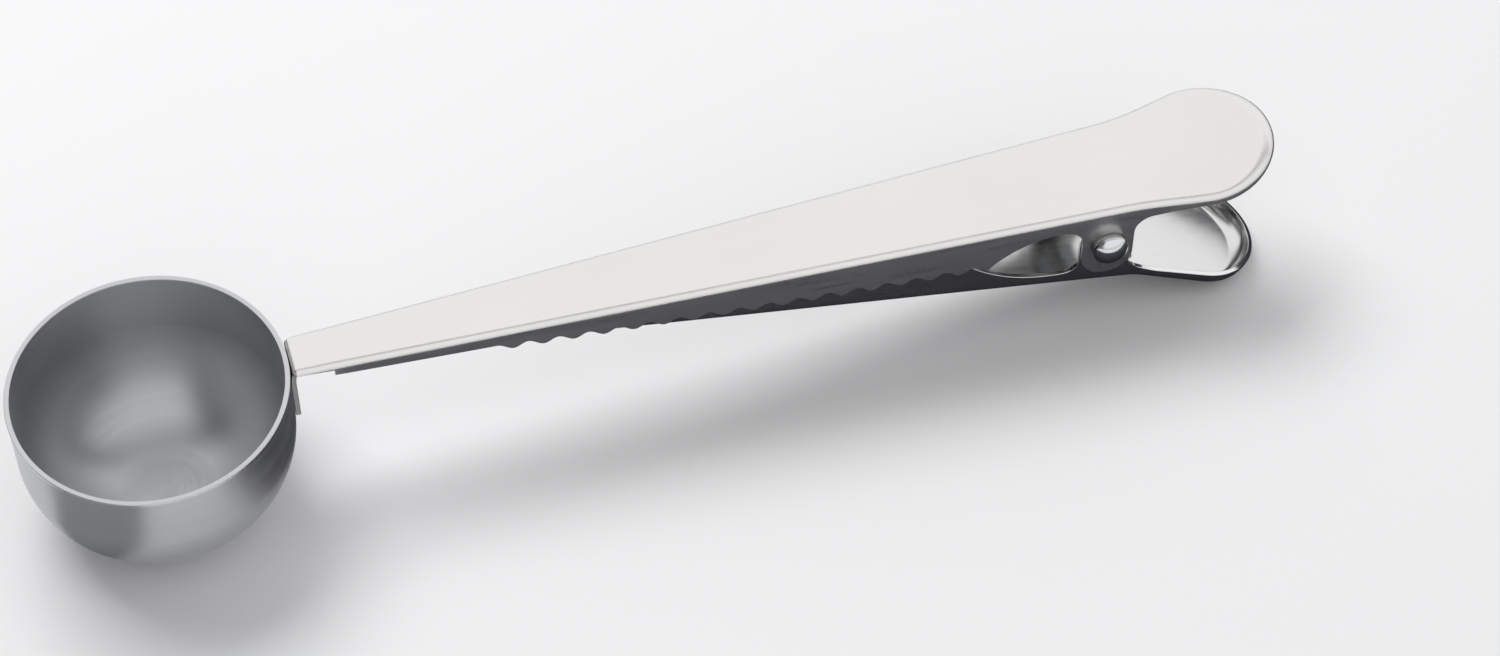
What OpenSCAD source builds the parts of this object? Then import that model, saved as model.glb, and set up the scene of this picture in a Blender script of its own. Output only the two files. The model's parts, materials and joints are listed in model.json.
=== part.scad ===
// Long-handled measuring scoop whose handle is a sprung bag clip.
// Millimetres. The origin is the centre of the scoop's flat base, +Z is up through the open mouth,
// and +X runs along the handle to the thumb end. The clip is drawn closed.

/* [Scoop bowl] */
// Outside diameter of the bowl at its rim
bowl_d = 38; // [36:0.5:42]
// Height of the bowl from the flat base to the rim
bowl_h = 23.8; // [23.6:0.1:24]
// Radius of the pressed corner between the base and the wall
bowl_corner_r = 14.5; // [12:0.5:15]
// Sheet thickness of the bowl
bowl_t = 0.6; // [0.5:0.1:0.9]
// How far the rim lip stands out from the wall
lip_proud = 0.12; // [0.1:0.02:0.2]
// Height of the rim lip
lip_h = 0.5; // [0.4:0.1:0.7]

/* [Handle pressing] */
// Sheet thickness of the handle and of the lower jaw
sheet_t = 0.7; // [0.6:0.1:0.8]
// Outside radius of the handle's bends
bend_r = 0.9; // [0.9:0.05:1.1]
// Handle width where it meets the bowl
neck_w = 6.6; // [6.4:0.1:7]
// Extra width for each millimetre along the handle
taper = 0.0816; // [0.08:0.0004:0.083]
// Radius of the rounded thumb end
thumb_r = 10; // [9.8:0.1:10.3]
// Position of the thumb end's centre along the handle
thumb_x = 149.5; // [149:0.1:150.5]
// Upward tilt of the thumb end in degrees
thumb_tilt = 14; // [10:1:16]
// Depth of the turned-down edge round the thumb end
thumb_edge = 1.7; // [1.4:0.1:2]
// How far the end tab reaches down the bowl wall
tab_drop = 12; // [9:0.5:12]

/* [Scalloped edges] */
// Distance from one scallop to the next
wave_pitch = 4.19; // [4.1:0.01:4.3]
// Height of a scallop from valley to tip
wave_h = 1; // [0.8:0.05:1.1]
// Number of valleys on each edge
wave_count = 17; // [12:1:17]

/* [Pivot] */
// Diameter of the rivet's shank
pin_d = 3; // [2.6:0.1:3.2]
// Radial gap between the shank and the jaw's holes
pin_gap = 0.05; // [0.03:0.01:0.08]
// Diameter of the rivet heads
head_d = 5.1; // [4.8:0.1:5.6]
// Height of the straight side of a rivet head
head_side = 1.05; // [0.8:0.05:1.2]
// Height of the dome on a rivet head
head_dome = 1.4; // [1:0.1:1.6]

/* [Lower jaw] */
// Sideways gap between the jaw and the handle's sides
side_gap = 0.15; // [0.12:0.01:0.2]
// Gap between the closed jaw and the underside of the handle
close_gap = 0.05; // [0.05:0.01:0.1]
// Height of the finger lever's rim above its floor
rim_h = 2; // [1.8:0.1:2.2]
// Inside radius of the curve between the lever's floor and its rim
rim_bend = 1.5; // [1.3:0.1:1.6]
// Radius of the finger lever's rounded end
lever_r = 9; // [8.8:0.1:9.4]

/* [Spring] */
// Wire diameter
wire_d = 1; // [0.8:0.05:1.1]
// Mean diameter of the coil
coil_d = 6; // [5.6:0.1:6.4]
// Number of full turns
coil_turns = 7; // [5:1:8]

/* [Hidden] */
$fn = 96;
eps = 0.01;

top_z = bowl_h;
under_z = top_z - sheet_t;
bowl_r = bowl_d / 2;
wall_r = bowl_r - lip_proud;

// The handle starts just clear of the rim lip and widens evenly up to the thumb end.
rim_clearance = 0.05;
start_x = bowl_r + rim_clearance;
plate_x = start_x + bend_r;
tab_lap = 1.2;
tab_under_bend = 0.2;
tab_spare = 1;
neck_x = 19;
taper_deg = atan(taper / 2);
function half_w(x) = (neck_w + taper * (x - neck_x)) / 2;

// The flare is a straight line that touches the round thumb end. Where the two meet they lap over
// each other, and the round end is set in by a hair so that no faces coincide. The end tilts up there.
lap = 0.4;
hair = 0.02;
flare_x = 139;
flare_reach = norm([thumb_x - flare_x, half_w(flare_x)]);
flare_deg = asin(thumb_r / flare_reach) - atan2(half_w(flare_x), thumb_x - flare_x);
flare_len = sqrt(pow(flare_reach, 2) - pow(thumb_r, 2));
flare_end_x = flare_x + flare_len * cos(flare_deg);
flare_end_y = half_w(flare_x) + flare_len * sin(flare_deg);
round_start = 90 + flare_deg + lap / thumb_r * 180 / PI;
plate_inset = 1.6 * bend_r;
round_inset = 1.3 * bend_r;

// Depth of the handle's sides below its top face.
notch_end_x = 23.5;
side_start_drop = 2.05;
wave_x = 46.86;
wave_half = wave_pitch / 2;
wave_last_x = wave_x + (2 * wave_count - 1) * wave_half;
mid_x = 48;
mid_depth = 3.28;
mid_slope = 0.0738;
mid_levelling = 0.000269;
function wave_mid(x) = mid_depth + mid_slope * (x - mid_x) - mid_levelling * pow(x - mid_x, 2);
// A little under the exact radius, so that the arcs of tips and valleys cross and never just touch.
wave_tightness = 0.98;
wave_r = wave_tightness * (pow(wave_half, 2) + pow(wave_h, 2)) / (4 * wave_h);

// Pivot ears: a round-ended tab on each side of the handle and of the jaw.
pin_x = 133.3;
pin_z = 16.75;
pin_r = pin_d / 2;
shank_sink = 0.5;
ear_half = 3.7;
ear_foot_z = 14.3;
ear_left_x = pin_x - ear_half;
ear_right_x = pin_x + ear_half;
side_deepest = 14;
cut_w = 40;
flare_mid_x = 144.5;
flare_mid_depth = 1.85;

// Opening in the handle's sides in front of the ears.
window_top = 2.9;
window_r = 14;
window_corner_r = 3.2;
window_x = ear_left_x - window_corner_r;
heel_fillet_r = 3;
heel_fillet_top = 2.45;
cut_deep = 20;

// The jaw and the finger lever share one floor, bent where the lever begins.
heel_x = 138;
heel_z = 7.1;
jaw_deg = 8.53;
lever_deg = 18;
jaw_tip_x = 45.5;
jaw_len = (heel_x - jaw_tip_x) / cos(jaw_deg);
jaw_half = half_w(heel_x) - sheet_t - side_gap;
jaw_taper_deg = atan(taper / 2 * cos(jaw_deg));
jaw_bend_r = 1.7;
jaw_inset = 1.3 * jaw_bend_r;
jaw_top_z = under_z - close_gap;
jaw_side_h = 18;
tip_round = 1.2;
jaw_ear_in = 0.2;
jaw_ear_x = ear_right_x - jaw_ear_in;
jaw_ear_low_z = 10.4;
heel_side_h = 2.4;
heel_lap = 2;
heel_lap_h = 1.6;

// Opening in the jaw's sides: a long curve, then a small one up the front of the ear.
scoop_r = 20;
scoop_x = 127.5;
scoop_low_z = 10.9;
ear_fillet_r = ear_left_x - scoop_x;

// Finger lever, in its own tilted frame with the heel as origin.
lever_cx = 12.1;
lever_half = 7.2;
lever_reach = norm([lever_cx, lever_half]);
lever_flare = asin(lever_r / lever_reach) - atan2(lever_half, lever_cx);
lever_side_len = sqrt(pow(lever_reach, 2) - pow(lever_r, 2));
lever_lap = 0.8;
floor_inset = 1.3 * (rim_bend + sheet_t);
lever_end_deg = lever_flare + lap / lever_r * 180 / PI;

// Spring: a coil round the shank, one leg on the lever's floor and one under the handle.
coil_r = coil_d / 2;
wire_r = wire_d / 2;
turn_clearance = 1.15;
coil_pitch = turn_clearance * wire_d;
leg_low_x = 138.2;
leg_high_x = 141.5;
leg_low_gap = 0.15;
leg_high_gap = 0.05;
leg_low = [leg_low_x, heel_z + leg_low_gap + wire_r];
leg_high = [leg_high_x, under_z - leg_high_gap - wire_r];
turn_steps = 18;
wire_sides = 8;

// ---------- Scoop bowl ----------

// Half section of a cup: a flat base, a round corner and a straight wall.
module cup_section(r, corner, z0) {
  translate([0, z0]) square([r - corner, bowl_h]);
  translate([0, z0 + corner]) square([r, bowl_h]);
  intersection() {
    translate([r - corner, z0 + corner]) circle(corner);
    translate([0, z0]) square([r, corner]);
  }
}

module scoop_bowl() {
  color([0.72, 0.73, 0.75])
  rotate_extrude() {
    difference() {
      intersection() {
        cup_section(wall_r, bowl_corner_r, 0);
        square([bowl_r, bowl_h]);
      }
      cup_section(wall_r - bowl_t, bowl_corner_r - bowl_t, bowl_t);
    }
    translate([wall_r - bowl_t, bowl_h - lip_h]) square([bowl_t + lip_proud, lip_h]);
  }
}

// ---------- Handle ----------

// Section of the handle's bent side: outer face on x = 0, top face on y = 0, metal at negative x.
module side_section(depth) {
  intersection() {
    difference() {
      translate([-bend_r, -bend_r]) circle(bend_r);
      translate([-bend_r, -bend_r]) circle(bend_r - sheet_t);
    }
    translate([-bend_r, -bend_r]) square(bend_r);
  }
  translate([-sheet_t, -depth]) square([sheet_t, depth - bend_r]);
  translate([-2 * bend_r, -sheet_t]) square([bend_r, sheet_t]);
}

// The +Y side: a straight tapering run and the flare.
module side_run() {
  translate([plate_x, half_w(plate_x), top_z]) rotate([0, 0, taper_deg])
  rotate([90, 0, 90]) linear_extrude((flare_x + lap - plate_x) / cos(taper_deg))
    side_section(side_deepest);
  translate([flare_x, half_w(flare_x), top_z]) rotate([0, 0, flare_deg])
  rotate([90, 0, 90]) linear_extrude(flare_len + lap) side_section(side_deepest);
}

// The round end with its part of the flat top, tilted up about the line where the flare meets it.
module thumb_end() {
  translate([flare_end_x, 0, top_z]) rotate([0, -thumb_tilt, 0]) translate([-flare_end_x, 0, 0]) {
    translate([thumb_x, 0, 0]) rotate([0, 0, -round_start])
    rotate_extrude(angle = 2 * round_start) translate([thumb_r - hair, 0]) side_section(thumb_edge);
    translate([0, 0, -sheet_t]) linear_extrude(sheet_t) intersection() {
      translate([thumb_x, 0]) circle(thumb_r - round_inset);
      translate([flare_end_x - lap, -thumb_r]) square(2 * thumb_r);
    }
  }
}

// Flat top of the handle, lapping the flat edge of the bent sides.
module top_outline() {
  polygon([
    [plate_x, half_w(plate_x) - plate_inset],
    [flare_x, half_w(flare_x) - plate_inset],
    [flare_end_x + lap, flare_end_y - plate_inset],
    [flare_end_x + lap, plate_inset - flare_end_y],
    [flare_x, plate_inset - half_w(flare_x)],
    [plate_x, plate_inset - half_w(plate_x)]
  ]);
}

// Side view of the metal kept in the handle's sides: x along the handle, y up from the top face.
module side_outline() {
  last_tip = -wave_mid(wave_last_x) - wave_h / 2;
  difference() {
    union() {
      polygon(concat(
        [[neck_x, 1], [neck_x, -bend_r], [notch_end_x, -bend_r]],
        [[notch_end_x, -side_start_drop]],
        [for (i = [0 : 2 * wave_count - 1])
          let(x = wave_x + i * wave_half) [x, -wave_mid(x) + (i == 0 ? wave_h / 2 : 0)]],
        [[wave_last_x, last_tip], [ear_left_x, last_tip]],
        [[ear_left_x, ear_foot_z - top_z], [ear_right_x, ear_foot_z - top_z]],
        [[ear_right_x, -heel_fillet_top - heel_fillet_r]],
        [[ear_right_x + heel_fillet_r, -heel_fillet_top - heel_fillet_r]],
        [[ear_right_x + heel_fillet_r, -heel_fillet_top]],
        [[flare_mid_x, -flare_mid_depth], [flare_end_x, -thumb_edge]],
        [[flare_end_x + 1, -thumb_edge], [flare_end_x + 1, 1]]
      ));
      for (i = [0 : wave_count - 1])
        let(x = wave_x + (2 * i + 1) * wave_half)
        translate([x, wave_r - wave_mid(x) - wave_h / 2]) circle(wave_r);
      translate([pin_x, ear_foot_z - top_z]) circle(ear_half);
    }
    for (i = [0 : wave_count - 1])
      let(x = wave_x + 2 * i * wave_half)
      translate([x, wave_h / 2 - wave_mid(x) - wave_r]) circle(wave_r);
    window_outline();
    translate([ear_right_x + heel_fillet_r, -heel_fillet_top - heel_fillet_r])
      circle(heel_fillet_r);
  }
}

// Opening in front of the ear: a long curve that meets a small one at the top.
module window_outline() {
  intersection() {
    translate([window_x, -window_top - window_r]) circle(window_r);
    translate([wave_last_x - 1, -cut_deep]) square([window_x - wave_last_x + 1, cut_deep]);
  }
  translate([window_x, -window_top - window_corner_r]) circle(window_corner_r);
  translate([window_x - eps, -cut_deep])
    square([window_corner_r + eps, cut_deep - window_top - window_corner_r]);
}

// Tab bent down from the plate's end and curved to lie on the bowl's wall.
module end_tab() {
  w = 2 * half_w(start_x);
  intersection() {
    translate([plate_x, w / 2, top_z - bend_r]) rotate([90, 0, 0])
    linear_extrude(w) difference() {
      circle(bend_r);
      circle(bend_r - sheet_t);
    }
    translate([start_x, -w / 2, top_z - bend_r]) cube([bend_r, w, bend_r]);
  }
  translate([start_x, -w / 2, top_z - bend_r - tab_lap]) cube([sheet_t, w, tab_lap]);
  translate([plate_x - eps, bend_r - w / 2, under_z]) cube([bend_r, w - 2 * bend_r, sheet_t]);
  intersection() {
    translate([0, 0, top_z - tab_drop - tab_spare])
    linear_extrude(tab_drop + tab_spare - tab_under_bend - bend_r)
    difference() {
      circle(wall_r + sheet_t);
      circle(wall_r);
    }
    translate([bowl_r / 2, 0, 0]) rotate([90, 0, 90]) linear_extrude(bowl_r) {
      translate([-w / 2, top_z - tab_drop + w / 2]) square([w, tab_drop]);
      translate([0, top_z - tab_drop + w / 2]) circle(w / 2);
    }
  }
}

// A side view extruded right across the handle.
module across() {
  translate([0, cut_w / 2, 0]) rotate([90, 0, 0]) linear_extrude(cut_w) children();
}

module handle() {
  color([0.8, 0.8, 0.79])
  difference() {
    union() {
      translate([0, 0, under_z]) linear_extrude(sheet_t) top_outline();
      end_tab();
      intersection() {
        union() {
          side_run();
          mirror([0, 1, 0]) side_run();
        }
        translate([0, 0, top_z]) across() side_outline();
      }
      thumb_end();
    }
    translate([pin_x, 0, pin_z]) across() circle(pin_r);
  }
}

// ---------- Lower jaw with finger lever ----------

// Section of a turned-up side: outer face on x = 0, floor's top face on y = 0.
module rise_section(inner_r, height) {
  outer_r = inner_r + sheet_t;
  intersection() {
    difference() {
      translate([-outer_r, inner_r]) circle(outer_r);
      translate([-outer_r, inner_r]) circle(inner_r);
    }
    translate([-outer_r, -sheet_t]) square(outer_r);
  }
  translate([-sheet_t, inner_r]) square([sheet_t, height - inner_r]);
  translate([-2 * outer_r, -sheet_t]) square([outer_r, sheet_t]);
}

module jaw_side() {
  translate([0, jaw_half, 0]) rotate([0, 0, jaw_taper_deg]) translate([-jaw_len, 0, 0])
  rotate([90, 0, 90]) linear_extrude(jaw_len) rise_section(jaw_bend_r - sheet_t, jaw_side_h);
}

module jaw_floor() {
  heel_half = jaw_half - jaw_inset;
  tip_half = heel_half - jaw_len * tan(jaw_taper_deg);
  translate([0, 0, -sheet_t]) linear_extrude(sheet_t) polygon([
    [-jaw_len, tip_half], [0, heel_half], [0, -heel_half], [-jaw_len, -tip_half]
  ]);
}

// Side view of the metal kept in the jaw: x along the handle, y up from the base.
module jaw_outline() {
  difference() {
    union() {
      polygon([
        [jaw_tip_x - 1, 0], [jaw_tip_x - 1, jaw_top_z], [ear_left_x, jaw_top_z],
        [ear_left_x, pin_z], [jaw_ear_x, pin_z], [jaw_ear_x, jaw_ear_low_z],
        [heel_x, heel_z + heel_side_h], [heel_x + heel_lap, heel_z + heel_lap_h],
        [heel_x + heel_lap, 0]
      ]);
      translate([pin_x, pin_z]) circle(ear_half);
    }
    intersection() {
      translate([scoop_x, scoop_low_z + scoop_r]) circle(scoop_r);
      translate([scoop_x - scoop_r, 0]) square([scoop_r, jaw_top_z + 1]);
    }
    translate([scoop_x, scoop_low_z + ear_fillet_r]) circle(ear_fillet_r);
    translate([scoop_x - eps, scoop_low_z + ear_fillet_r])
      square([ear_fillet_r + eps, cut_deep]);
    difference() {
      translate([jaw_tip_x - 2, jaw_top_z - tip_round]) square([tip_round + 2, tip_round + 1]);
      translate([jaw_tip_x + tip_round, jaw_top_z - tip_round]) circle(tip_round);
    }
  }
}

module lever_side() {
  translate([0, lever_half, 0]) rotate([0, 0, lever_flare]) translate([-lever_lap, 0, 0])
  rotate([90, 0, 90]) linear_extrude(lever_side_len + lever_lap + lap)
    rise_section(rim_bend, rim_h);
}

module lever_end() {
  translate([lever_cx, 0, 0]) rotate([0, 0, -90 - lever_end_deg])
  rotate_extrude(angle = 180 + 2 * lever_end_deg)
    translate([lever_r - hair, 0]) rise_section(rim_bend, rim_h);
}

module lever_floor() {
  meet_x = lever_cx - lever_r * sin(lever_flare);
  meet_y = lever_r * cos(lever_flare) - floor_inset;
  start_y = lever_half - floor_inset;
  translate([0, 0, -sheet_t]) linear_extrude(sheet_t) {
    polygon([
      [-lever_lap, start_y], [meet_x, meet_y], [meet_x, -meet_y], [-lever_lap, -start_y]
    ]);
    translate([lever_cx, 0]) circle(lever_r - floor_inset + lap);
  }
}

module lower_jaw() {
  color([0.75, 0.76, 0.77])
  difference() {
    union() {
      intersection() {
        translate([heel_x, 0, heel_z]) rotate([0, jaw_deg, 0]) {
          jaw_side();
          mirror([0, 1, 0]) jaw_side();
          jaw_floor();
        }
        across() jaw_outline();
      }
      translate([heel_x, 0, heel_z]) rotate([0, lever_deg, 0]) {
        lever_side();
        mirror([0, 1, 0]) lever_side();
        lever_end();
        lever_floor();
      }
    }
    translate([pin_x, 0, pin_z]) across() circle(pin_r + pin_gap);
  }
}

// ---------- Pivot rivet ----------

// A formed head: a short straight side and a dome, standing on z = 0.
module rivet_head() {
  r = head_d / 2;
  dome_r = (pow(r, 2) + pow(head_dome, 2)) / (2 * head_dome);
  rotate_extrude() intersection() {
    union() {
      square([r, head_side]);
      translate([0, head_side + head_dome - dome_r]) circle(dome_r);
    }
    square([r, head_side + head_dome]);
  }
}

module pivot_rivet() {
  color([0.85, 0.86, 0.87]) {
    translate([pin_x, half_w(pin_x) + shank_sink, pin_z]) rotate([90, 0, 0])
      cylinder(r = pin_r, h = 2 * (half_w(pin_x) + shank_sink));
    for (side = [-1, 1])
      translate([pin_x, side * half_w(pin_x), pin_z])
      rotate([0, 0, side * taper_deg]) rotate([-side * 90, 0, 0]) rivet_head();
  }
}

// ---------- Torsion spring ----------

// Where a straight leg to point p touches the coil, as an angle in the side view.
function leg_angle(p) =
  let(d = p - [pin_x, pin_z])
  atan2(d[1], d[0]) + acos(coil_r / norm(d));
function leg_angle_back(p) =
  let(d = p - [pin_x, pin_z])
  atan2(d[1], d[0]) - acos(coil_r / norm(d));

spring_start = leg_angle(leg_low);
spring_end = leg_angle_back(leg_high) + 360 * (coil_turns + 1);
spring_half = coil_pitch * (spring_end - spring_start) / 720;
spring_steps = round((spring_end - spring_start) / 360 * turn_steps);

spring_path = concat(
  [[leg_low[0], -spring_half, leg_low[1]]],
  [for (i = [0 : spring_steps])
    let(f = i / spring_steps, a = spring_start + f * (spring_end - spring_start))
    [pin_x + coil_r * cos(a), spring_half * (2 * f - 1), pin_z + coil_r * sin(a)]],
  [[leg_high[0], spring_half, leg_high[1]]]
);

function unit(v) = v / norm(v);

// Rings of points round a path, closed with a flat cap at each end.
module wire(path) {
  n = len(path);
  rings = [for (i = [0 : n - 1])
    let(
      t = unit(path[min(i + 1, n - 1)] - path[max(i - 1, 0)]),
      u = unit([0, 1, 0] - t[1] * t),
      v = cross(t, u)
    )
    for (k = [0 : wire_sides - 1])
      path[i] + wire_r * (cos(360 * k / wire_sides) * u + sin(360 * k / wire_sides) * v)];
  faces = concat(
    [[for (k = [0 : wire_sides - 1]) k]],
    [for (i = [0 : n - 2], k = [0 : wire_sides - 1])
      let(a = i * wire_sides, b = a + wire_sides, m = (k + 1) % wire_sides)
      [a + k, b + k, b + m, a + m]],
    [[for (k = [wire_sides - 1 : -1 : 0]) (n - 1) * wire_sides + k]]
  );
  polyhedron(rings, faces);
}

module torsion_spring() {
  color([0.6, 0.61, 0.63]) wire(spring_path);
}

scoop_bowl();
handle();
lower_jaw();
pivot_rivet();
torsion_spring();
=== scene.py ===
import json
import math

import bpy
import numpy as np
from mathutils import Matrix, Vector
from mathutils.geometry import delaunay_2d_cdt

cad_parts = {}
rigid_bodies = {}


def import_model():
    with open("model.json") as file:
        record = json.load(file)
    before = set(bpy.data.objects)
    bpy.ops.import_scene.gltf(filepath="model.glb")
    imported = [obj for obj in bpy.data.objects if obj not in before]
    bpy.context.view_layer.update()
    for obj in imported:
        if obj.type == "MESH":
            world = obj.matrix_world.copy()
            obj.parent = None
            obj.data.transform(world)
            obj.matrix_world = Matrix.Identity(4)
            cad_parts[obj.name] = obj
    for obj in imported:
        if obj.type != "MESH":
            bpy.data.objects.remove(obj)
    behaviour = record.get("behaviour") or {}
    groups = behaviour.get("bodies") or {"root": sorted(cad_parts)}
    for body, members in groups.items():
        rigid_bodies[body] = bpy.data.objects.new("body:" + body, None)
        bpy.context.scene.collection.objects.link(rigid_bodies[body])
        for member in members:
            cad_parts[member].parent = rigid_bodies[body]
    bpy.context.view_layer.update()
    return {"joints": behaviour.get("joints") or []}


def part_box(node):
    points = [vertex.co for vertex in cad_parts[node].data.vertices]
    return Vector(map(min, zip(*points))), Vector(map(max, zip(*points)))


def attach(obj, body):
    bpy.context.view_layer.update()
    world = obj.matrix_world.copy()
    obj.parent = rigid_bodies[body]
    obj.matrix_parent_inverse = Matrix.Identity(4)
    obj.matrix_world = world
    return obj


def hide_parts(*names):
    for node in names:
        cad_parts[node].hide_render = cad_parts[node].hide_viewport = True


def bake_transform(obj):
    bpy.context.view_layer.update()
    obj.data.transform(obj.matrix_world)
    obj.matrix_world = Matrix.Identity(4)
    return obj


# Lengths are in millimetres in the part's own frame, and MM turns them into metres where Blender
# takes them. Depths are counted down from the handle's top.
MM = 0.001

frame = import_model()


def span(node):
    """Lowest and highest corner of a CAD node, in millimetres."""
    low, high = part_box(node)
    return np.array(low) / MM, np.array(high) / MM


# ---------------------------------------------------------------- positions from the CAD frame
BOWL_HIGH = span("scoop_bowl")[1]
HANDLE_HIGH = span("handle")[1]
RIVET_HIGH = span("pivot_rivet")[1]
SPRING_LOW, SPRING_HIGH = span("torsion_spring")
PIN = np.array(frame["joints"][0]["pos_m"]) / MM
TOP_Z = BOWL_HIGH[2]
END_X = HANDLE_HIGH[0]

# ---------------------------------------------------------------- sizes
SHEET = 0.7
EDGE_R = 0.09

RIM_R = BOWL_HIGH[0]
RIM_Z = BOWL_HIGH[2]
BOWL_WALL_R = RIM_R - 0.12
BOWL_T = 0.6
BOWL_CORNER_R = 14.5
LIP_H = 0.5
LIP_EDGE = 0.1
BOWL_SEGMENTS = 240

START_X = RIM_R + 0.05
BEND_R = 0.92
NECK_X = 19.0
NECK_W = 6.6
TAPER = 0.0816
TAPER_DEG = math.degrees(math.atan(TAPER / 2))
CORNER_R = 0.8
THUMB_R = HANDLE_HIGH[1] + 0.02
THUMB_X = END_X - THUMB_R - 0.5
THUMB_DEPTH = 1.65
THUMB_BEND = 1.5
LIFT_X = 138.0
LIFT = 0.0061
FLARE_X = 139.0
FLARE_BLEND = 3.2
TAB_DEPTH = 12.0
TAB_HALF = 2.45
TAB_BEND = 0.76
TAB_LEAN_DEPTH = 1.1
TAB_LEAN_OVER = 2.2
# Mark for painted shade on the end tab below the handle's neck: it darkens the tab's colour.
TAB_PAINTED_SHADE = -0.8

NOTCH_X = 23.5
NOTCH_DEPTH = 1.05
SIDE_DEPTH = 2.05
WAVE_X = 46.86
WAVE_PITCH = 4.19
WAVE_H = 1.0
WAVES = 17
WAVE_MID = 3.28
WAVE_MID_X = 48
WAVE_SLOPE = 0.0738
WAVE_LEVELLING = 0.000269
EAR_HALF = 3.7
EAR_FOOT = TOP_Z - 14.3
WINDOW_TOP = 2.9
WINDOW_R = 14.0
WINDOW_CORNER = 3.2
HEEL_FILLET = 3.0
HEEL_TOP = 2.45
HEEL_RUN = ((142.0, 2.1), (144.5, 1.86), (147.0, 1.73))
THUMB_EDGE_X = 149.0

JAW_GAP = 0.15
JAW_BEND = 1.7
JAW_TIP_X = 45.5
JAW_TOP = TOP_Z - SHEET - 0.06
HEEL_X = 138.0
HEEL_Z = 7.1
JAW_TILT = 8.53
LEVER_TILT = 18.4
HEEL_SPREAD = 1.6
SCOOP_R = 20.0
SCOOP_X = 127.5
SCOOP_LOW = 10.9
TIP_ROUND = 0.9
LEVER_R = 9.0
LEVER_CENTRE = 12.1
LEVER_BLEND = 1.2
RIM_H_HEEL = 2.15
RIM_H_END = 2.6
RIM_BEND_END = 3.1
RIM_TURN_END = 76.0
LEVER_RISE = (13.0, 11.4)

PIN_R = 1.5
HEAD_R = 2.55
HEAD_SIDE = 1.05
HEAD_EDGE = 0.6
HEAD_CROWN = 3.4
RIVET_SEGMENTS = 96

WIRE_R = 0.5
WIRE_SIDES = 14
COIL_R = 3.0
COIL_TURNS = 7
COIL_STEPS = 40
LOW_LEG_X = 138.2
HIGH_LEG_X = 141.5

# ---------------------------------------------------------------- stage, lights and camera
FLOOR_Z = -0.02
FLOOR_REACH = 3000
FLAG_Z = FLOOR_Z + 0.5
FLAG = ((22, -62), (230, 70))
SIDE_FLAG = ((-120, -120), (-11, -8))
RIDGE_H = 13.0
RIDGE_LINE = [(60, 20), (120, 20), (152, 19), (172, 14), (180, 0), (176, -20)]
OPEN_TURN = math.radians(34)
OPEN_DROP = 36.0

WORLD_LEVEL = 0.97
WORLD_TINT = (0.985, 0.99)
# (degrees, brightness) round the X axis: -90 is behind the part, 0 overhead, 90 in front of it
WORLD_STEPS = [
    (-180, 0.10), (-100, 0.35), (-85, 0.80), (-50, 1.0), (-22, 1.0), (-12, 0.30),
    (-3, 0.25), (6, 0.85), (40, 0.92), (80, 0.90), (90, 0.60), (97, 0.10), (180, 0.10),
]
WORLD_DARK_X = (("From Min", -0.62), ("From Max", -0.40), ("To Min", 0.18))
KEY_PLACE = (-150, 500, 900)
KEY_AIM = (70, 0, 0)
KEY_SIZE = (700, 500)
KEY_POWER = 6.5

CAMERA_PLACE = (-7.66, -309.89, 431.05)
CAMERA_LOOK = (0.17094, 0.58033, -0.79623)
SENSOR_W = 36.0
LENS = 91.19


# ---------------------------------------------------------------- meshes
def unit(rows):
    return rows / np.maximum(np.linalg.norm(rows, axis=-1, keepdims=True), 1e-12)


def polar(angle, radius):
    """A 2-D point at an angle in degrees and a distance."""
    a = math.radians(angle)
    return radius * np.array([math.cos(a), math.sin(a)])


def smooth(t):
    """An even start and end for a share from 0 to 1."""
    return t * t * (3 - 2 * t)


class Soup:
    """Vertices with their own normals and an edge mark, and faces turned to agree with them.

    The mark is above 0 where the steel is worn bright and below 0 where shade is painted in: a
    darker colour, and rougher steel.
    """

    def __init__(self):
        self.points, self.normals, self.edge, self.faces = [], [], [], []

    def add(self, points, normals, edge=0.0):
        first = len(self.points)
        for p, n in zip(points, normals):
            self.points.append(p)
            self.normals.append(n)
            self.edge.append(edge)
        return list(range(first, len(self.points)))

    def mirrored(self):
        """A copy with the +Y half added."""
        out = Soup()
        flip = np.array([1.0, -1.0, 1.0])
        n = len(self.points)
        out.points = [np.array(p) for p in self.points] + [p * flip for p in self.points]
        out.normals = [np.array(p) for p in self.normals] + [p * flip for p in self.normals]
        out.edge = self.edge + self.edge
        out.faces = self.faces + [[i + n for i in f] for f in self.faces]
        for k in range(n):
            if abs(out.points[k][1]) < 0.03:
                for j in (k, k + n):
                    out.points[j][1] = 0.0
                    out.normals[j][1] = 0.0
        return out

    def mesh(self, name):
        """Merges the points that coincide and makes a closed, smooth Blender mesh."""
        points = np.array(self.points, float)
        normals = unit(np.array(self.normals, float))
        _, first, where = np.unique(
            np.round(points, 4), axis=0, return_index=True, return_inverse=True
        )
        where = where.ravel()
        points, normals = points[first], normals[first]
        edge = np.array(self.edge, float)[first]
        faces, seen = [], set()
        for f in self.faces:
            g = []
            for i in (int(where[k]) for k in f):
                if not g or g[-1] != i:
                    g.append(i)
            if len(g) > 1 and g[0] == g[-1]:
                g.pop()
            if len(set(g)) < 3:
                continue
            p = points[g]
            area = np.zeros(3)
            for a in range(1, len(g) - 1):
                area += np.cross(p[a] - p[0], p[a + 1] - p[0])
            if np.linalg.norm(area) < 1e-9:
                continue
            if area @ normals[g].mean(0) < 0:
                g.reverse()
            key = tuple(sorted(g))
            if key not in seen:
                seen.add(key)
                faces.append(g)
        data = bpy.data.meshes.new(name)
        data.from_pydata((points * MM).tolist(), [], faces)
        data.update()
        mark = data.attributes.new("edge", "FLOAT", "POINT")
        mark.data.foreach_set("value", edge.astype(np.float32))
        data.polygons.foreach_set("use_smooth", [True] * len(data.polygons))
        data.normals_split_custom_set_from_vertices(normals.tolist())
        add_brush_map(data, points)
        return data


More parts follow.
